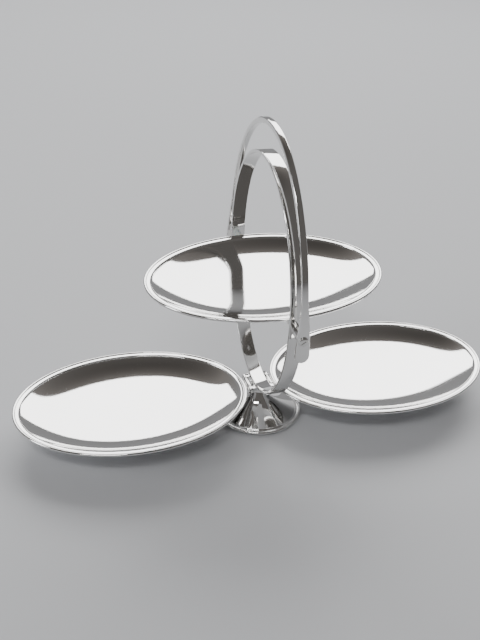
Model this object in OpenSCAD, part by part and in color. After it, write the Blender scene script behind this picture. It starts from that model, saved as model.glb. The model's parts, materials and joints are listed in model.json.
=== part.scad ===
// Folding three-tier cake stand: a hoop on a trumpet foot carries three oval trays.
// The middle tray turns between the sides of the hoop and the two lower trays
// fold up about hinges on the foot. The origin is the middle of the foot's
// underside. X runs along the trays, Y across them and Z up.

/* [Trays] */
// Length of each oval tray
tray_len = 248; // [240:2:248]
// Width of each oval tray
tray_wid = 174; // [168:2:180]
// Depth of each tray below the top of its rim
tray_depth = 14; // [12:1:16]
// Thickness of the tray sheet
sheet = 1.2; // [1:0.1:1.6]
// Width of the flat rim round a tray
rim_w = 5.5; // [4:0.5:6]
// Radius of the rolled bead along the rim's edge
bead_r = 1.6; // [1.4:0.1:1.8]
// Width of the dished band between a tray's rim and its flat middle
dish_w = 48; // [40:1:56]

/* [Hoop] */
// Height of the oval hoop over its outside
hoop_h = 263; // [261:1:272]
// Gap between a tray's rim and the inside of the hoop
hoop_gap = 10; // [6:0.5:12]
// Width of the hoop band, along X
band_w = 15; // [12:1:15]
// Thickness of the hoop band
band_t = 3; // [2.5:0.5:3.5]

/* [Handle] */
// Height of the handle's arch above the hoop
arch_rise = 32; // [30:1:36]
// Gap between the hoop and the handle's side strips
strip_gap = 16; // [12:0.5:20]
// Thickness of a side strip
strip_t = 3; // [2.5:0.5:3.5]
// Radial thickness of the grip at the top of the arch
grip_t = 6; // [5:0.5:7]
// Width of the grip at the top of the arch, along X
grip_w = 6.5; // [6:0.5:9]
// Width of the rounded tongue at the foot of a side strip, along X
tongue_w = 14; // [12:0.5:15]
// Length of a strip below the tray pivot
strip_tail = 24; // [22:1:30]

/* [Foot] */
// Radius of the foot at the table
foot_r = 48; // [46:1:52]
// Radius of the foot's neck
neck_r = 8; // [7:0.5:8]
// Height of the foot up to the hinge saddle
foot_h = 38.5; // [36:0.5:40]

/* [Hinges] */
// Distance of each lower hinge pin from the middle
hinge_x = 12; // [12:0.5:13]
// Radius of a lower hinge pin
pin_r = 1.5; // [1.2:0.1:1.8]
// Outer radius of a hinge knuckle
knuckle_r = 3.2; // [3:0.1:3.3]
// Length of the knuckle in the middle of a hinge
leaf_len = 16; // [12:1:20]
// Radial clearance of a pin in the knuckle that turns on it
run_fit = 0.05; // [0.02:0.01:0.1]
// Radius of the screws that the middle tray turns on
screw_r = 2.3; // [2:0.1:2.4]

/* [Hidden] */
$fn = 64;

tray_a = tray_len / 2;
tray_b = tray_wid / 2;
oval_steps = 96;

// Hoop: an upright oval in the YZ plane
hoop_seat = 1.5;
hoop_base = foot_h + hoop_seat;
hoop_zc = hoop_base + hoop_h / 2;
hoop_oy = tray_b + hoop_gap + band_t;
hoop_oz = hoop_h / 2;
hoop_iy = hoop_oy - band_t;
hoop_iz = hoop_oz - band_t;

// Middle tray: its pivots are just below its rim and the hoop's widest point
pivot_drop = 3.5;
pivot_z = hoop_zc - pivot_drop;
rim_over_pivot = 6;
middle_rim_z = pivot_z + rim_over_pivot;

// Lower trays
hinge_drop = 2;
hinge_z = foot_h - hinge_drop;
rim_rise = 2;
lower_rim_z = hinge_z + rim_rise;
rim_from_pin = 3.6;
lower_x = hinge_x + rim_from_pin + tray_a;

// Handle: a larger oval that leaves the hoop as it rises
strip_iy = hoop_oy + strip_gap;
strip_oy = strip_iy + strip_t;
arch_oz = hoop_oz + pivot_drop + arch_rise;
arch_iz = arch_oz - grip_t;
flare_low = pivot_z - strip_tail + tongue_w / 2;
flare_h = 45;
flare_high = pivot_z + flare_h;

// Foot
pad_t = 2;
pad_bore = 9;
plate_t = 1.5;
lip_r = 1.8;
bolt_r = 3;
bolt_end = 0.6;
bolt_head_r = 6.5;
bolt_head_z = 0.5;
plate_r = 30;
pad_r = foot_r - 6;

// Small turned parts
pivot_spacer_r = 5;
pivot_washer_r = 4;
pin_head_r = pin_r + 0.9;
pin_head_t = 0.8;
cut = 1;

// Half width of an oval at a height z from its middle
function oval_y(z, ry, rz) = ry * sqrt(1 - pow(z / rz, 2));
// Points of an oval, as [y, z] or [x, y]
function oval(ra, rb, steps = 144) =
    [for (i = [0 : steps - 1]) [ra * cos(360 * i / steps), rb * sin(360 * i / steps)]];
// Smooth step from 0 to 1
function ease(t) = let (u = max(0, min(1, t))) u * u * (3 - 2 * u);

// ---- Oval trays ------------------------------------------------------------

// One section through a tray, from the middle of the floor out over the rim and
// back underneath: [inset from the edge, height below the rim's top]
flange_z = -0.9;
step_w = 1;
step_h = 0.9;
wall_steps = 6;
dish_z = flange_z - step_h;
dish_h = tray_depth - sheet + dish_z;
function wall(t) = [rim_w + step_w + dish_w * t, dish_z - dish_h * (1 - pow(1 - t, 2.5))];
upper_section = concat(
    [for (i = [wall_steps : -1 : 0]) wall(i / wall_steps)],
    [[rim_w, flange_z], [2 * bead_r, flange_z]],
    [for (i = [1 : 6]) [bead_r + bead_r * cos(30 * i), -bead_r + bead_r * sin(30 * i)]]);
lower_section = concat(
    [for (i = [7 : 10]) [bead_r + bead_r * cos(30 * i), -bead_r + bead_r * sin(30 * i)]],
    [[2 * bead_r, flange_z - sheet], [rim_w, flange_z - sheet]],
    [for (i = [0 : wall_steps]) wall(i / wall_steps) - [0, sheet]]);
section = concat(upper_section, lower_section);

function ring(inset, z) = [for (i = [0 : oval_steps - 1])
    let (a = 360 * i / oval_steps) [(tray_a - inset) * cos(a), (tray_b - inset) * sin(a), z]];
floor_z = upper_section[0][1];

module oval_tray() {
    rings = [for (p = section) ring(p[0], p[1])];
    last = len(rings) * oval_steps;
    points = concat([for (r = rings) each r], [[0, 0, floor_z], [0, 0, floor_z - sheet]]);
    sides = [for (j = [0 : len(rings) - 2], i = [0 : oval_steps - 1])
        let (k = (i + 1) % oval_steps, p = j * oval_steps, q = p + oval_steps)
        each [[p + i, q + i, q + k], [p + i, q + k, p + k]]];
    caps = [for (i = [0 : oval_steps - 1])
        let (k = (i + 1) % oval_steps, q = last - oval_steps)
        each [[last, i, k], [last + 1, q + k, q + i]]];
    polyhedron(points, [for (f = concat(sides, caps)) [f[0], f[2], f[1]]]);
}

module middle_tray() {
    color("gainsboro") translate([0, 0, middle_rim_z]) oval_tray();
}

// A block under the rim with the bore that turns on a pivot screw
lug_h = rim_over_pivot - 2.2;
lug_w = 2 * lug_h;
lug_out = tray_b - 0.2;
lug_in = tray_b - rim_w - 0.8;
module pivot_lug() {
    difference() {
        union() {
            translate([-lug_w / 2, lug_in, pivot_z]) cube([lug_w, lug_out - lug_in, lug_h]);
            translate([0, lug_out, pivot_z]) rotate([90, 0, 0]) cylinder(h = lug_out - lug_in, r = lug_w / 2);
        }
        translate([0, lug_out + cut, pivot_z]) rotate([90, 0, 0])
            cylinder(h = lug_out - lug_in + 2 * cut, r = screw_r + run_fit);
    }
}
module front_pivot_lug() {
    color("silver") mirror([0, 1, 0]) pivot_lug();
}
module rear_pivot_lug() {
    color("silver") pivot_lug();
}

module left_tray() {
    color("gainsboro") translate([-lower_x, 0, lower_rim_z]) oval_tray();
}
module right_tray() {
    color("gainsboro") translate([lower_x, 0, lower_rim_z]) oval_tray();
}

// ---- Lower hinges ----------------------------------------------------------

knuckle_gap = 0.3;
ear_len = 5.5;
leaf_t = 1.8;
leaf_reach = rim_from_pin + rim_w + 0.9;
module across(length, r) {
    translate([0, length / 2, 0]) rotate([90, 0, 0]) cylinder(h = length, r = r);
}
// The knuckle and tongue on the tray's side of a hinge, to the right of its pin
module hinge_leaf() {
    top = lower_rim_z + flange_z - sheet - hinge_z;
    difference() {
        union() {
            across(leaf_len, knuckle_r);
            translate([0, -leaf_len / 2, top - leaf_t]) cube([leaf_reach, leaf_len, leaf_t]);
        }
        across(leaf_len + 2, pin_r + run_fit);
    }
}
module right_hinge_leaf() {
    color("silver") translate([hinge_x, 0, hinge_z]) hinge_leaf();
}
module left_hinge_leaf() {
    color("silver") mirror([1, 0, 0]) translate([hinge_x, 0, hinge_z]) hinge_leaf();
}

pin_over = 0.3;
pin_len = leaf_len + 2 * (knuckle_gap + ear_len + pin_over);
module hinge_pin() {
    across(pin_len, pin_r);
    for (s = [-1, 1]) translate([0, s * (pin_len + pin_head_t) / 2, 0]) across(pin_head_t, pin_head_r);
}
module right_hinge_pin() {
    color("lightgrey") translate([hinge_x, 0, hinge_z]) hinge_pin();
}
module left_hinge_pin() {
    color("lightgrey") translate([-hinge_x, 0, hinge_z]) hinge_pin();
}

// The seat between the foot and the hoop, with the fixed knuckles of both hinges
module hinge_saddle() {
    ear_y = leaf_len / 2 + knuckle_gap + ear_len / 2;
    seat_y = ear_y + ear_len / 2;
    color("silver") difference() {
        union() {
            translate([0, 0, foot_h]) cylinder(h = hoop_seat + cut, r = neck_r);
            translate([-band_w / 2, -seat_y, foot_h]) cube([band_w, 2 * seat_y, hoop_seat + cut]);
            for (s = [-1, 1], t = [-1, 1]) translate([s * hinge_x, t * ear_y, 0]) {
                translate([0, 0, hinge_z]) across(ear_len, knuckle_r);
                mirror([s > 0 ? 1 : 0, 0, 0]) {
                    translate([0, -ear_len / 2, foot_h]) cube([hinge_x, ear_len, hoop_seat]);
                    translate([0, -ear_len / 2, hinge_z]) cube([knuckle_r, ear_len, hinge_drop + cut]);
                }
            }
        }
        for (s = [-1, 1]) translate([s * hinge_x, 0, hinge_z]) across(3 * seat_y, pin_r);
        translate([0, 0, hoop_zc]) rotate([90, 0, 90])
            linear_extrude(height = band_w + 0.4, center = true) polygon(oval(hoop_oy, hoop_oz));
        translate([0, 0, foot_h - cut]) cylinder(h = hoop_seat + 3 * cut, r = bolt_r);
    }
}

// ---- Hoop ------------------------------------------------------------------

module hoop() {
    color("gainsboro") difference() {
        translate([0, 0, hoop_zc]) rotate([90, 0, 90]) linear_extrude(height = band_w, center = true)
            difference() {
                polygon(oval(hoop_oy, hoop_oz));
                polygon(oval(hoop_iy, hoop_iz));
            }
        translate([0, 0, pivot_z]) across(3 * tray_b, screw_r);
        translate([0, 0, hoop_base - cut]) cylinder(h = band_t - bolt_end + cut, r = bolt_r);
    }
}

// ---- Handle ----------------------------------------------------------------

// Half width of the handle at a height, from the tongue up to the narrow grip
function handle_half(z) = let (u = (z - flare_low) / (flare_high - flare_low))
    grip_w / 2 + (tongue_w - grip_w) / 2 * (1 - ease(u));
function flare_at(t) = flare_low + (flare_high - flare_low) * t;
module handle() {
    steps = 12;
    color("gainsboro") difference() {
        intersection() {
            translate([0, 0, pivot_z]) rotate([90, 0, 90]) linear_extrude(height = band_w + 2, center = true)
                difference() {
                    union() {
                        polygon(oval(strip_oy, arch_oz));
                        translate([-strip_oy, -strip_tail]) square([2 * strip_oy, strip_tail]);
                    }
                    polygon(oval(strip_iy, arch_iz));
                    translate([-strip_iy, -arch_oz - 1]) square([2 * strip_iy, arch_oz + 1]);
                }
            rotate([90, 0, 0]) linear_extrude(height = 2 * strip_oy + 2, center = true) union() {
                translate([0, flare_low]) circle(r = tongue_w / 2);
                polygon(concat(
                    [for (i = [0 : steps]) let (z = flare_at(i / steps)) [handle_half(z), z]],
                    [[grip_w / 2, pivot_z + arch_oz + 1], [-grip_w / 2, pivot_z + arch_oz + 1]],
                    [for (i = [steps : -1 : 0]) let (z = flare_at(i / steps)) [-handle_half(z), z]]));
            }
        }
        translate([0, 0, pivot_z]) across(3 * tray_b, screw_r);
    }
}

module both_sides() {
    children();
    mirror([0, 1, 0]) children();
}
// A round piece along Y between two distances from the middle
module along_y(y0, y1, r, z) {
    translate([0, y1, z]) rotate([90, 0, 0]) cylinder(h = y1 - y0, r = r);
}

// ---- Middle tray pivots ----------------------------------------------------

head_r = 5;
head_t = 2;
washer_gap = 0.5;
pivot_oy = oval_y(pivot_drop, hoop_oy, hoop_oz);
pivot_iy = oval_y(pivot_drop, hoop_iy, hoop_iz);
module pivot_screws() {
    color("lightgrey") both_sides() {
        along_y(lug_in + 0.8, strip_oy + 0.5, screw_r, pivot_z);
        translate([0, strip_oy, pivot_z]) rotate([-90, 0, 0]) rotate_extrude()
            polygon([[0, 0], [head_r, 0], [head_r, 0.4 * head_t], [0.85 * head_r, 0.75 * head_t],
                [0.5 * head_r, head_t], [0, head_t]]);
    }
}
module pivot_spacers() {
    color("silver") both_sides() difference() {
        along_y(pivot_oy, strip_iy, pivot_spacer_r, pivot_z);
        along_y(pivot_oy - cut, strip_iy + cut, screw_r, pivot_z);
    }
}
module pivot_washers() {
    color("whitesmoke") both_sides() difference() {
        along_y(lug_out + washer_gap, pivot_iy, pivot_washer_r, pivot_z);
        along_y(lug_out - cut, pivot_iy + cut, screw_r, pivot_z);
    }
}

// ---- Foot ------------------------------------------------------------------

// Radius of the trumpet at a height above the table
foot_low = 3.2;
function trumpet(z) = neck_r + (foot_r - lip_r - neck_r) * pow(1 - (z - foot_low) / (foot_h - foot_low), 2.6);
flare_steps = 16;
function trumpet_at(i) = let (z = foot_low + (foot_h - foot_low) * pow(i / flare_steps, 1.5)) [trumpet(z), z];
module foot_shell() {
    wall_t = 1.2;
    color("gainsboro") difference() {
        union() {
            rotate_extrude() polygon(concat(
                [[0, foot_low - 1]],
                [[foot_r - lip_r, foot_low - 1]],
                [for (i = [0 : flare_steps]) trumpet_at(i)],
                [[0, foot_h]]));
            translate([0, 0, pad_t]) rotate_extrude()
                translate([foot_r - lip_r, lip_r - 1]) circle(r = lip_r, $fn = 32);
        }
        rotate_extrude() polygon(concat(
            [[0, -1], [foot_r - lip_r - 3, -1]],
            [[foot_r - lip_r - 3, foot_low - 1 + 0.2]],
            [for (i = [3 : flare_steps - 3]) trumpet_at(i) - [wall_t, wall_t]],
            [[0, trumpet_at(flare_steps - 3)[1] - wall_t]]));
        translate([0, 0, -cut]) cylinder(h = foot_h + 2 * cut, r = bolt_r);
    }
}

weight_z = pad_t + plate_t;
weight_h = 9;
weight_low_r = 28;
weight_top_r = 18;
module foot_weight() {
    color("dimgrey") difference() {
        translate([0, 0, weight_z]) cylinder(h = weight_h, r1 = weight_low_r, r2 = weight_top_r);
        translate([0, 0, -cut]) cylinder(h = foot_h, r = bolt_r);
    }
}
module base_plate() {
    color("darkgrey") translate([0, 0, pad_t]) difference() {
        cylinder(h = plate_t, r = plate_r);
        translate([0, 0, -cut]) cylinder(h = plate_t + 2 * cut, r = bolt_r);
    }
}
module foot_pad() {
    color("black") difference() {
        cylinder(h = pad_t, r = pad_r);
        translate([0, 0, -cut]) cylinder(h = pad_t + 2 * cut, r = pad_bore);
    }
}
module centre_bolt() {
    color("silver") {
        translate([0, 0, pad_t]) cylinder(h = hoop_base + band_t - bolt_end - pad_t, r = bolt_r);
        translate([0, 0, bolt_head_z]) cylinder(h = pad_t - bolt_head_z, r = bolt_head_r);
    }
}

// ---- Selection -------------------------------------------------------------

foot_pad();
base_plate();
foot_weight();
foot_shell();
centre_bolt();
hinge_saddle();
hoop();
handle();
pivot_screws();
pivot_spacers();
pivot_washers();
left_hinge_pin();
right_hinge_pin();
middle_tray();
front_pivot_lug();
rear_pivot_lug();
left_tray();
left_hinge_leaf();
right_tray();
right_hinge_leaf();
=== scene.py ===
import json
import math

import bmesh
import bpy
from mathutils import Matrix, Vector


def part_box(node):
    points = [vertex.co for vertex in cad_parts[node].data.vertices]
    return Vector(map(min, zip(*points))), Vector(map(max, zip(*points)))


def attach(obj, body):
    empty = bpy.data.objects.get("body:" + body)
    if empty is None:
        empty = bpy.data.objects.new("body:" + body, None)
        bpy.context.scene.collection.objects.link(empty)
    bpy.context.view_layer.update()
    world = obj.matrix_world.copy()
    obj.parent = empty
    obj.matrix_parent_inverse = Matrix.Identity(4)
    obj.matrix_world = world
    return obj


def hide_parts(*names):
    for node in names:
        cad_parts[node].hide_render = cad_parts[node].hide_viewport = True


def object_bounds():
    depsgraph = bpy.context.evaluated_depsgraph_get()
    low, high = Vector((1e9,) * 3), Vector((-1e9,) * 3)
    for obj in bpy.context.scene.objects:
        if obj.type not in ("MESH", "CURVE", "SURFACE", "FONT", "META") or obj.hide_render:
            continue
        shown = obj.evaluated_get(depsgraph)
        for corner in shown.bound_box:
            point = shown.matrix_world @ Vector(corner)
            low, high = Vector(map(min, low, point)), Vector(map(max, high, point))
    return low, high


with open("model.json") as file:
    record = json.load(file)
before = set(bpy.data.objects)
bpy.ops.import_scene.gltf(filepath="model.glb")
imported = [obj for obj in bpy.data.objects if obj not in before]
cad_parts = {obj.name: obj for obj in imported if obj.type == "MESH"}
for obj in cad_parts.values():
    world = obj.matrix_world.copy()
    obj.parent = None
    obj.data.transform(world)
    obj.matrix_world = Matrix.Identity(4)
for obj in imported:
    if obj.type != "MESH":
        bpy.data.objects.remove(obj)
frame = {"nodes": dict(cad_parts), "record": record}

CAD_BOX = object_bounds()
MM = 0.001

# ---- Measures taken from the frame -----------------------------------------


def span(node, axis):
    """A node's lowest and highest place along an axis (0, 1 or 2), in metres."""
    low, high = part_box(node)
    return low[axis], high[axis]


TRAY_A = (span("middle_tray", 0)[1] - span("middle_tray", 0)[0]) / 2
TRAY_B = (span("middle_tray", 1)[1] - span("middle_tray", 1)[0]) / 2
MIDDLE_RIM = span("middle_tray", 2)[1]
LOWER_RIM = span("right_tray", 2)[1]
LOWER_X = sum(span("right_tray", 0)) / 2

HOOP_LOW, HOOP_TOP = span("hoop", 2)
HOOP_Z = (HOOP_LOW + HOOP_TOP) / 2
HOOP_RZ = (HOOP_TOP - HOOP_LOW) / 2
HOOP_RY = span("hoop", 1)[1]
BAND_W = span("hoop", 0)[1] * 2
BAND_T = 3 * MM
PIVOT_Z = sum(span("pivot_screws", 2)) / 2

ARCH_TOP = span("handle", 2)[1]
STRIP_RY = span("handle", 1)[1]
STRIP_LOW = span("handle", 2)[0]
STRIP_T = 3 * MM
GRIP_T = 6 * MM
GRIP_W = 6.5 * MM
TONGUE_W = span("handle", 0)[1] * 2
FLARE_LOW = STRIP_LOW + TONGUE_W / 2
FLARE_H = 45 * MM
FLARE_HIGH = PIVOT_Z + FLARE_H

FOOT_LOW, FOOT_TOP = span("foot_shell", 2)
FOOT_R = span("foot_shell", 0)[1]
NECK_R = 8 * MM

# ---- Camera ----------------------------------------------------------------

CAM_AZIMUTH = 18.4      # how far the camera stands to the left of the front
CAM_ELEVATION = 32.6
CAM_ROLL = 2.9
CAM_DISTANCE = 0.988
CAM_TARGET = Vector((-0.0134, 0, 0.1207))
CAM_LENS = 53.3
CAM_SHIFT = (-0.0157, -0.0017)


def make_camera():
    az = math.radians(CAM_AZIMUTH)
    el = math.radians(CAM_ELEVATION)
    roll = math.radians(CAM_ROLL)
    back = Vector((-math.sin(az) * math.cos(el), -math.cos(az) * math.cos(el), math.sin(el)))
    right = Vector((0, 0, 1)).cross(back).normalized()
    up = back.cross(right)
    side = right * math.cos(roll) + up * math.sin(roll)
    top = up * math.cos(roll) - right * math.sin(roll)
    data = bpy.data.cameras.new("camera")
    data.lens = CAM_LENS
    data.sensor_width = 36
    data.shift_x, data.shift_y = CAM_SHIFT
    data.clip_start = 0.05
    cam = bpy.data.objects.new("camera", data)
    bpy.context.scene.collection.objects.link(cam)
    turn = Matrix((side, top, back)).transposed().to_4x4()
    cam.matrix_world = Matrix.Translation(CAM_TARGET + back * CAM_DISTANCE) @ turn
    bpy.context.scene.camera = cam


make_camera()

# ---- Materials -------------------------------------------------------------


class Shade:
    """A material on one Principled shader, with a few short ways to add nodes."""

    def __init__(self, name, colour, metallic, roughness, **sockets):
        self.material = bpy.data.materials.new(name)
        self.material.use_nodes = True
        self.nodes = self.material.node_tree.nodes
        self.links = self.material.node_tree.links
        self.shader = self.nodes["Principled BSDF"]
        self.shader.inputs["Base Color"].default_value = (*colour, 1)
        self.shader.inputs["Metallic"].default_value = metallic
        self.shader.inputs["Roughness"].default_value = roughness
        for key, value in sockets.items():
            self.shader.inputs[key.replace("_", " ")].default_value = value
        self.place = self.nodes.new("ShaderNodeTexCoord").outputs["Object"]

    def stretched(self, scale):
        node = self.nodes.new("ShaderNodeMapping")
        node.inputs["Scale"].default_value = scale
        self.links.new(self.place, node.inputs["Vector"])
        return node.outputs["Vector"]

    def noise(self, scale, detail=4.0, vector=None, rough=0.55):
        node = self.nodes.new("ShaderNodeTexNoise")
        node.inputs["Scale"].default_value = scale
        node.inputs["Detail"].default_value = detail
        node.inputs["Roughness"].default_value = rough
        self.links.new(vector or self.place, node.inputs["Vector"])
        return node.outputs["Fac"]

    def ranged(self, value, low, high, start=0.3, end=0.7):
        node = self.nodes.new("ShaderNodeMapRange")
        node.inputs["From Min"].default_value = start
        node.inputs["From Max"].default_value = end
        node.inputs["To Min"].default_value = low
        node.inputs["To Max"].default_value = high
        self.links.new(value, node.inputs["Value"])
        return node.outputs["Result"]

    def colours(self, value, first, second, start=0.3, end=0.7):
        node = self.nodes.new("ShaderNodeValToRGB")
        node.color_ramp.elements[0].position = start
        node.color_ramp.elements[0].color = (*first, 1)
        node.color_ramp.elements[1].position = end
        node.color_ramp.elements[1].color = (*second, 1)
        self.links.new(value, node.inputs["Fac"])
        self.links.new(node.outputs["Color"], self.shader.inputs["Base Color"])

    def roughness(self, value):
        self.links.new(value, self.shader.inputs["Roughness"])

    def added(self, first, second):
        node = self.nodes.new("ShaderNodeMath")
        node.operation = "ADD"
        self.links.new(first, node.inputs[0])
        self.links.new(second, node.inputs[1])
        return node.outputs["Value"]

    def bump(self, value, strength, distance):
        node = self.nodes.new("ShaderNodeBump")
        node.inputs["Strength"].default_value = strength
        node.inputs["Distance"].default_value = distance
        self.links.new(value, node.inputs["Height"])
        self.links.new(node.outputs["Normal"], self.shader.inputs["Normal"])


def mirror_steel():
    """Buffed stainless steel: sharp reflections, faint smears and hairline polishing marks."""
    s = Shade("mirror_steel", (0.83, 0.825, 0.81), 1.0, 0.05)
    smears = s.noise(9, 5)
    s.colours(smears, (0.80, 0.795, 0.785), (0.87, 0.865, 0.855))
    marks = s.noise(260, 3, s.stretched((0.35, 6, 6)))
    s.roughness(s.added(s.ranged(smears, 0.025, 0.06), s.ranged(marks, 0.0, 0.03, 0.5, 0.75)))
    s.bump(s.added(s.noise(5, 2), marks), 0.012, 0.001)
    return s.material


def tray_steel():
    """The trays' pressed sheet: mirror polish with the slight waviness of a stamped floor."""
    s = Shade("tray_steel", (0.85, 0.845, 0.83), 1.0, 0.05)
    smears = s.noise(7, 6)
    s.colours(smears, (0.82, 0.815, 0.805), (0.885, 0.88, 0.87))
    marks = s.noise(300, 3, s.stretched((5, 0.4, 5)))
    specks = s.noise(900, 2)
    s.roughness(s.added(s.ranged(smears, 0.03, 0.075), s.ranged(marks, 0.0, 0.03, 0.5, 0.75)))
    s.bump(s.added(s.added(s.noise(11, 1), s.noise(4, 1)), s.ranged(specks, 0, 0.05)), 0.05, 0.002)
    return s.material


def bright_steel():
    """Turned and barrelled small parts: bright, with fine tool marks."""
    s = Shade("bright_steel", (0.76, 0.755, 0.74), 1.0, 0.14)
    smears = s.noise(60, 4)
    s.colours(smears, (0.70, 0.695, 0.68), (0.80, 0.795, 0.78))
    rings = s.noise(700, 2, s.stretched((1, 8, 1)))
    s.roughness(s.added(s.ranged(smears, 0.07, 0.14), s.ranged(rings, 0.0, 0.08)))
    s.bump(rings, 0.06, 0.0004)
    return s.material


def zinc():
    s = Shade("zinc", (0.5, 0.51, 0.53), 1.0, 0.35)
    spangle = s.noise(90, 3)
    s.colours(spangle, (0.42, 0.43, 0.45), (0.58, 0.59, 0.61))
    s.roughness(s.ranged(spangle, 0.28, 0.45))
    s.bump(s.noise(400, 4), 0.15, 0.0005)
    return s.material


def cast_iron():
    s = Shade("cast_iron", (0.06, 0.06, 0.065), 0.7, 0.7)
    grain = s.noise(350, 6)
    s.colours(grain, (0.035, 0.035, 0.04), (0.10, 0.095, 0.09))
    s.roughness(s.ranged(grain, 0.6, 0.85))
    s.bump(grain, 0.6, 0.001)
    return s.material


def felt():
    s = Shade("felt", (0.02, 0.02, 0.022), 0.0, 0.95, Sheen_Weight=0.5, Sheen_Roughness=0.5)
    fibres = s.noise(1400, 6, s.stretched((1, 1, 0.4)), 0.7)
    s.colours(fibres, (0.010, 0.010, 0.011), (0.045, 0.045, 0.05))
    s.roughness(s.ranged(fibres, 0.88, 1.0))
    s.bump(fibres, 0.7, 0.0006)
    return s.material


def nylon():
    s = Shade("nylon", (0.8, 0.8, 0.77), 0.0, 0.4, Subsurface_Weight=0.15)
    grain = s.noise(300, 4)
    s.colours(grain, (0.74, 0.74, 0.70), (0.84, 0.84, 0.81))
    s.roughness(s.ranged(grain, 0.35, 0.5))
    s.bump(grain, 0.1, 0.0004)
    return s.material


MATERIALS = {
    "mirror_steel": mirror_steel(),
    "tray_steel": tray_steel(),
    "bright_steel": bright_steel(),
    "zinc": zinc(),
    "cast": cast_iron(),
    "felt": felt(),
    "nylon": nylon(),
}
SLOT_OF = {row["node"]: row["material_slot"] for row in frame["record"]["subparts"]}
for node_name, node_object in frame["nodes"].items():
    node_object.data.materials.clear()
    node_object.data.materials.append(MATERIALS[SLOT_OF[node_name]])

# ---- Mesh helpers ----------------------------------------------------------


def add_piece(name, bm, material, body, node):
    """Makes a piece from a bmesh, in place of one CAD node and riding on its body."""
    bmesh.ops.recalc_face_normals(bm, faces=bm.faces)
    mesh = bpy.data.meshes.new(name)
    bm.to_mesh(mesh)
    bm.free()
    mesh.materials.append(MATERIALS[material])
    mesh.polygons.foreach_set("use_smooth", [True] * len(mesh.polygons))
    piece = bpy.data.objects.new(name, mesh)
    bpy.context.scene.collection.objects.link(piece)
    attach(piece, body)
    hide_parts(node)
    return piece


def loft(bm, rings, loop=False):
    """Joins rings of points with quads. A loft that isn't a loop gets a face on each end."""
    rows = [[bm.verts.new(p) for p in ring] for ring in rings]
    count = len(rows[0])
    pairs = list(zip(rows, rows[1:]))
    if loop:
        pairs.append((rows[-1], rows[0]))
    for first, second in pairs:
        for i in range(count):
            k = (i + 1) % count
            bm.faces.new((first[i], first[k], second[k], second[i]))
    if not loop:
        bm.faces.new(rows[0])
        bm.faces.new(rows[-1])
    return rows


def filleted(corners, arc_steps=6):
    """An open outline of (x, z, radius) corners, with each corner rounded."""
    out = [Vector(corners[0][:2])]
    for before, here, after in zip(corners, corners[1:], corners[2:]):
        p = Vector(here[:2])
        a = Vector(before[:2]) - p
        b = Vector(after[:2]) - p
        reach = min(here[2], a.length * 0.49, b.length * 0.49)
        if reach <= 0:
            out.append(p)
            continue
        a = p + a.normalized() * reach
        b = p + b.normalized() * reach
        for i in range(arc_steps + 1):
            t = i / arc_steps
            out.append(a * (1 - t) ** 2 + p * (2 * t * (1 - t)) + b * t ** 2)
    out.append(Vector(corners[-1][:2]))
    return out


def rounded_box(half_w, half_t, radius, steps=5):
    """Points of a rounded rectangle, as (across, out)."""
    radius = min(radius, half_w * 0.999, half_t * 0.999)
    points = []
    for sx, sy, start in ((1, 1, 0), (-1, 1, 90), (-1, -1, 180), (1, -1, 270)):
        for i in range(steps + 1):
            a = math.radians(start + 90 * i / steps)
            points.append((
                sx * (half_w - radius) + radius * math.cos(a),
                sy * (half_t - radius) + radius * math.sin(a)))
    return points


def ease(t):
    t = max(0.0, min(1.0, t))
    return t * t * (3 - 2 * t)


def lathe(bm, outline, steps=96, centre=(0, 0, 0), axis="Z"):
    """Spins an open outline of (radius, height) that starts and ends on the axis."""
    middle = Vector(centre)
    turn = {"Z": Matrix.Identity(3), "Y": Matrix.Rotation(-math.pi / 2, 3, "X"),
            "-Y": Matrix.Rotation(math.pi / 2, 3, "X")}[axis]

    def at(r, h, i):
        a = 2 * math.pi * i / steps
        return middle + turn @ Vector((r * math.cos(a), r * math.sin(a), h))

    first = bm.verts.new(at(0, outline[0][1], 0))
    last = bm.verts.new(at(0, outline[-1][1], 0))
    rows = [[bm.verts.new(at(r, h, i)) for i in range(steps)] for r, h in outline[1:-1]]
    for i in range(steps):
        k = (i + 1) % steps
        bm.faces.new((first, rows[0][k], rows[0][i]))
        bm.faces.new((last, rows[-1][i], rows[-1][k]))
        for low, high in zip(rows, rows[1:]):
            bm.faces.new((low[i], low[k], high[k], high[i]))


# ---- Trays -----------------------------------------------------------------

SHEET = 1.2 * MM
DISH_EDGE = 6.9 * MM
DISH_W = 48 * MM
DISH_TOP = -2.1 * MM
DISH_H = 10.7 * MM
OVAL_STEPS = 224


def dish(steps=22):
    """The dished band from a tray's flat middle out to its rim: (inset, z)."""
    curve = [i / steps for i in range(steps, -1, -1)]
    return [(DISH_EDGE + DISH_W * t, DISH_TOP - DISH_H * (1 - (1 - t) ** 2.5)) for t in curve]


def tray_section():
    """From the floor's edge up the dish, over the rim and back underneath: (inset, z)."""
    step = [(6.75, -1.85, 0.3), (6.6, -1.25, 0.3), (5.8, -1.05, 0.3), (3.4, -0.85, 0.2)]
    seam = [(3.15, -1.15, 0.15), (2.95, -0.75, 0.1)]
    bead = [(1.6 + 1.6 * math.cos(math.radians(a)), -1.6 + 1.6 * math.sin(math.radians(a)), 0)
            for a in range(40, 301, 13)]
    under = [(3.0, -2.3, 0.3), (6.2, -2.15, 0.5)]
    points = filleted([(d, z, r) for d, z, r in step + seam + bead + under])
    top = dish()
    below = [(d, z - SHEET) for d, z in reversed(top)]
    return top + [(p.x * MM, p.y * MM) for p in points] + below


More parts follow.
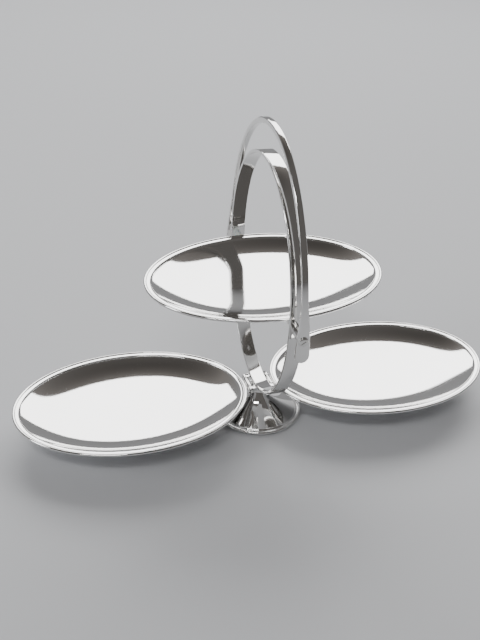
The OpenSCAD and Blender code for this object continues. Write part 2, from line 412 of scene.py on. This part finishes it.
def make_tray(name, centre, rim, body):
    bm = bmesh.new()

    def ring(inset, z, size=1.0):
        ring_points = []
        for i in range(OVAL_STEPS):
            a = 2 * math.pi * i / OVAL_STEPS
            across = size * (TRAY_A - inset) * math.cos(a)
            ring_points.append((centre + across, size * (TRAY_B - inset) * math.sin(a), rim + z))
        return ring_points

    section = tray_section()
    inset, floor = section[0]
    under = section[-1][1]
    sizes = [1 - i / 10 for i in range(1, 10)] + [0.04]
    rings = [ring(inset, floor, s) for s in reversed(sizes)]
    rings += [ring(d, z) for d, z in section]
    rings += [ring(inset, under, s) for s in sizes]
    loft(bm, rings)
    return add_piece(name + "_sheet", bm, "tray_steel", body, name)


make_tray("middle_tray", 0, MIDDLE_RIM, "middle_tray")
make_tray("left_tray", -LOWER_X, LOWER_RIM, "left_tray")
make_tray("right_tray", LOWER_X, LOWER_RIM, "right_tray")

# ---- Hoop and handle -------------------------------------------------------


def band_ring(y, z, normal, half_w, half_t, radius):
    """One cross-section of a flat band that runs in the YZ plane."""
    return [(u, y + normal[0] * v, z + normal[1] * v) for u, v in rounded_box(half_w, half_t, radius)]


def oval_normal(a, ry, rz):
    n = Vector((math.cos(a) / ry, math.sin(a) / rz))
    return n.normalized()


def make_hoop(steps=288):
    bm = bmesh.new()
    ry, rz = HOOP_RY - BAND_T / 2, HOOP_RZ - BAND_T / 2
    rings = []
    for i in range(steps):
        a = 2 * math.pi * i / steps
        y, z = ry * math.cos(a), HOOP_Z + rz * math.sin(a)
        rings.append(band_ring(y, z, oval_normal(a, ry, rz), BAND_W / 2, BAND_T / 2, 0.7 * MM))
    loft(bm, rings, loop=True)
    add_piece("hoop_band", bm, "mirror_steel", "frame", "hoop")


def handle_half_width(z):
    return (GRIP_W + (TONGUE_W - GRIP_W) * (1 - ease((z - FLARE_LOW) / (FLARE_HIGH - FLARE_LOW)))) / 2


def make_handle(steps=240):
    """Two side strips with round tips that rise into one narrow arch."""
    bm = bmesh.new()
    ry = STRIP_RY - STRIP_T / 2
    rz = ARCH_TOP - PIVOT_Z - GRIP_T / 2
    tip_r = TONGUE_W / 2
    tail = PIVOT_Z - STRIP_LOW
    stations = []
    for i in range(20):
        a = math.radians(88 - 88 * i / 19)
        depth = tail - tip_r * (1 - math.sin(a))
        stations.append((ry, PIVOT_Z - depth, Vector((1, 0)), max(tip_r * math.cos(a), 0.4 * MM), 0))
    for i in range(1, 8):
        z = PIVOT_Z - (tail - tip_r) * (1 - i / 8)
        stations.append((ry, z, Vector((1, 0)), handle_half_width(z), 0))
    lower = list(stations)
    for i in range(steps + 1):
        a = math.pi * i / steps
        z = PIVOT_Z + rz * math.sin(a)
        stations.append((ry * math.cos(a), z, oval_normal(a, ry, rz), handle_half_width(z), math.sin(a)))
    stations += [(-y, z, Vector((-1, 0)), w, s) for y, z, n, w, s in reversed(lower)]
    rings = []
    for y, z, normal, half_w, rise in stations:
        half_t = (STRIP_T + (GRIP_T - STRIP_T) * rise ** 2) / 2
        round_edge = (0.7 + 0.7 * rise ** 2) * MM
        rings.append(band_ring(y, z, normal, half_w, half_t, min(round_edge, half_w * 0.8)))
    loft(bm, rings)
    add_piece("handle_arch", bm, "mirror_steel", "frame", "handle")


make_hoop()
make_handle()

# ---- Foot ------------------------------------------------------------------


def make_foot(flare_steps=40):
    """A spun trumpet with a rolled lip and a hollow underside."""
    lip = 1.8 * MM
    low = 3.2 * MM
    wall = 1.2 * MM
    rim = FOOT_R - lip

    def trumpet(t):
        z = low + (FOOT_TOP - low) * t
        return NECK_R + (rim - NECK_R) * (1 - t) ** 2.6, z

    outline = [(0, FOOT_TOP), (NECK_R * 0.5, FOOT_TOP), (NECK_R * 0.96, FOOT_TOP)]
    outline += [trumpet(1 - (i / flare_steps) ** 0.7 * 0.985) for i in range(1, flare_steps)]
    outline += [(rim - 3.2 * MM, low + 0.55 * MM), (rim - 1.4 * MM, low + 0.1 * MM)]
    lip_z = FOOT_LOW + lip
    outline += [(rim + lip * math.cos(math.radians(a)), lip_z + lip * math.sin(math.radians(a)))
                for a in range(120, -121, -15)]
    outline += [(rim - 3 * MM, FOOT_LOW + 0.9 * MM), (rim - 5 * MM, low - wall * 0.3)]
    outline += [(r - wall, z - wall) for r, z in (trumpet(t) for t in (0.15, 0.3, 0.5, 0.7, 0.85))]
    outline += [(4 * MM, FOOT_TOP - 2 * wall), (0, FOOT_TOP - 2 * wall)]
    bm = bmesh.new()
    lathe(bm, outline, 160)
    add_piece("foot_trumpet", bm, "mirror_steel", "frame", "foot_shell")


make_foot()

# ---- Small fittings --------------------------------------------------------


def softened(node, body, width):
    """A copy of a CAD node's shape with its sharp edges eased, as barrel polishing leaves them."""
    source = frame["nodes"][node]
    bm = bmesh.new()
    bm.from_mesh(source.data)
    bm.transform(source.matrix_world)
    bmesh.ops.remove_doubles(bm, verts=bm.verts, dist=1e-6)
    bmesh.ops.dissolve_limit(bm, angle_limit=math.radians(1), verts=bm.verts, edges=bm.edges)
    piece = add_piece(node + "_finished", bm, SLOT_OF[node], body, node)
    bevel = piece.modifiers.new("eased_edges", "BEVEL")
    bevel.width = width
    bevel.segments = 3
    bevel.limit_method = "ANGLE"
    bevel.angle_limit = math.radians(35)
    bevel.harden_normals = True
    return piece


BODY_OF = {n: body for body, names in frame["record"]["behaviour"]["bodies"].items() for n in names}
EASED = {"hinge_saddle": 0.35, "left_hinge_leaf": 0.25, "right_hinge_leaf": 0.25, "front_pivot_lug": 0.5,
         "rear_pivot_lug": 0.5, "pivot_spacers": 0.3,
         "pivot_washers": 0.25, "left_hinge_pin": 0.25, "right_hinge_pin": 0.25,
         "centre_bolt": 0.25, "base_plate": 0.3, "foot_weight": 0.5, "foot_pad": 0.4}
for node_name, width in EASED.items():
    softened(node_name, BODY_OF[node_name], width * MM)


def make_pivot_screws():
    """Two domed screws with a turned collar and a driving slot."""
    low, high = span("pivot_screws", 1)
    head_r = (span("pivot_screws", 2)[1] - span("pivot_screws", 2)[0]) / 2
    shank_r = 2.3 * MM
    head_t = high - STRIP_RY
    shank_end = TRAY_B - 5.5 * MM
    collar = 0.6 * MM
    slot_depth = 1.6 * MM
    slot_width = 1.1 * MM
    slot_turn = 34
    bm = bmesh.new()
    for side in (1, -1):
        outline = [(0, shank_end), (shank_r * 0.8, shank_end), (shank_r, shank_end + 0.5 * MM),
                   (shank_r, STRIP_RY), (head_r * 0.98, STRIP_RY), (head_r, STRIP_RY + 0.15 * MM),
                   (head_r, STRIP_RY + 0.5 * MM)]
        outline += [(head_r * 0.93 * math.cos(math.radians(a)),
                     STRIP_RY + collar + (head_t - collar) * math.sin(math.radians(a)))
                    for a in range(0, 86, 6)]
        outline.append((0, high))
        lathe(bm, outline, 48, (0, 0, PIVOT_Z), "Y" if side > 0 else "-Y")
    piece = add_piece("pivot_screws_slotted", bm, "bright_steel", "frame", "pivot_screws")
    cut = bmesh.new()
    for side in (1, -1):
        box = bmesh.ops.create_cube(cut, size=1)["verts"]
        bmesh.ops.scale(cut, vec=(2.2 * head_r, slot_depth, slot_width), verts=box)
        bmesh.ops.rotate(cut, verts=box, matrix=Matrix.Rotation(math.radians(slot_turn * side), 3, "Y"))
        bmesh.ops.translate(cut, vec=(0, side * (high + 0.1 * MM), PIVOT_Z), verts=box)
    mesh = bpy.data.meshes.new("slot_cutter")
    cut.to_mesh(mesh)
    cut.free()
    cutter = bpy.data.objects.new("slot_cutter", mesh)
    bpy.context.scene.collection.objects.link(cutter)
    slot = piece.modifiers.new("slot", "BOOLEAN")
    slot.object = cutter
    slot.solver = "EXACT"
    bpy.context.view_layer.update()
    evaluated = piece.evaluated_get(bpy.context.evaluated_depsgraph_get())
    piece.data = bpy.data.meshes.new_from_object(evaluated)
    piece.modifiers.clear()
    bpy.data.objects.remove(cutter)
    bevel = piece.modifiers.new("eased_edges", "BEVEL")
    bevel.width = 0.12 * MM
    bevel.segments = 2
    bevel.limit_method = "ANGLE"
    bevel.angle_limit = math.radians(40)
    bevel.harden_normals = True


make_pivot_screws()

# ---- Floor, world and lights -----------------------------------------------


def make_floor():
    bm = bmesh.new()
    bmesh.ops.create_grid(bm, x_segments=2, y_segments=2, size=6)
    mesh = bpy.data.meshes.new("floor")
    bm.to_mesh(mesh)
    bm.free()
    floor = bpy.data.objects.new("floor", mesh)
    bpy.context.scene.collection.objects.link(floor)
    floor.location.z = CAD_BOX[0].z
    s = Shade("floor_paper", (0.62, 0.63, 0.65), 0.0, 0.5)
    mesh.materials.append(s.material)


def make_world():
    """Dark on the camera's side, grey low behind the stand and dark again overhead."""
    world = bpy.data.worlds.new("studio")
    world.use_nodes = True
    bpy.context.scene.world = world
    nodes, links = world.node_tree.nodes, world.node_tree.links
    backdrop = nodes["Background"]
    place = nodes.new("ShaderNodeTexCoord")
    split = nodes.new("ShaderNodeSeparateXYZ")
    ramp = nodes.new("ShaderNodeValToRGB")
    links.new(place.outputs["Generated"], split.inputs["Vector"])
    links.new(split.outputs["Z"], ramp.inputs["Fac"])
    ramp.color_ramp.elements[0].position = 0.0
    ramp.color_ramp.elements[0].color = (0.40, 0.40, 0.41, 1)
    ramp.color_ramp.elements[1].position = 0.985
    ramp.color_ramp.elements[1].color = (0.045, 0.039, 0.034, 1)
    for height, grey in ((0.38, (0.36, 0.36, 0.365, 1)), (0.8, (0.27, 0.25, 0.235, 1))):
        ramp.color_ramp.elements.new(height).color = grey
    behind = nodes.new("ShaderNodeMapRange")
    behind.inputs["From Min"].default_value = -0.3
    behind.inputs["From Max"].default_value = 0.5
    links.new(split.outputs["Y"], behind.inputs["Value"])
    blend = nodes.new("ShaderNodeMix")
    blend.data_type = "RGBA"
    links.new(behind.outputs["Result"], blend.inputs["Factor"])
    dark, bright = [socket for socket in blend.inputs if socket.type == "RGBA"]
    dark.default_value = (0.15, 0.142, 0.136, 1)
    links.new(ramp.outputs["Color"], bright)
    links.new([socket for socket in blend.outputs if socket.type == "RGBA"][0], backdrop.inputs["Color"])
    backdrop.inputs["Strength"].default_value = 0.8


def soft_light(name, place, aim, size, power, colour=(1, 1, 1)):
    data = bpy.data.lights.new(name, "AREA")
    data.shape = "RECTANGLE"
    data.size, data.size_y = size
    data.energy = power
    data.color = colour
    lamp = bpy.data.objects.new(name, data)
    bpy.context.scene.collection.objects.link(lamp)
    lamp.location = place
    lamp.rotation_mode = "QUATERNION"
    lamp.rotation_quaternion = (Vector(place) - Vector(aim)).to_track_quat("Z", "Y")


make_floor()
make_world()
CENTRE = (0, 0, 0.12)
soft_light("back_panel", (0.75, 1.9, 1.75), CENTRE, (3.4, 1.5), 75)
soft_light("front_fill", (-0.9, -1.6, 2.4), CENTRE, (1.3, 0.3), 22)
soft_light("left_panel", (-2.3, -0.3, 1.0), CENTRE, (0.7, 1.5), 16, (0.95, 0.97, 1))
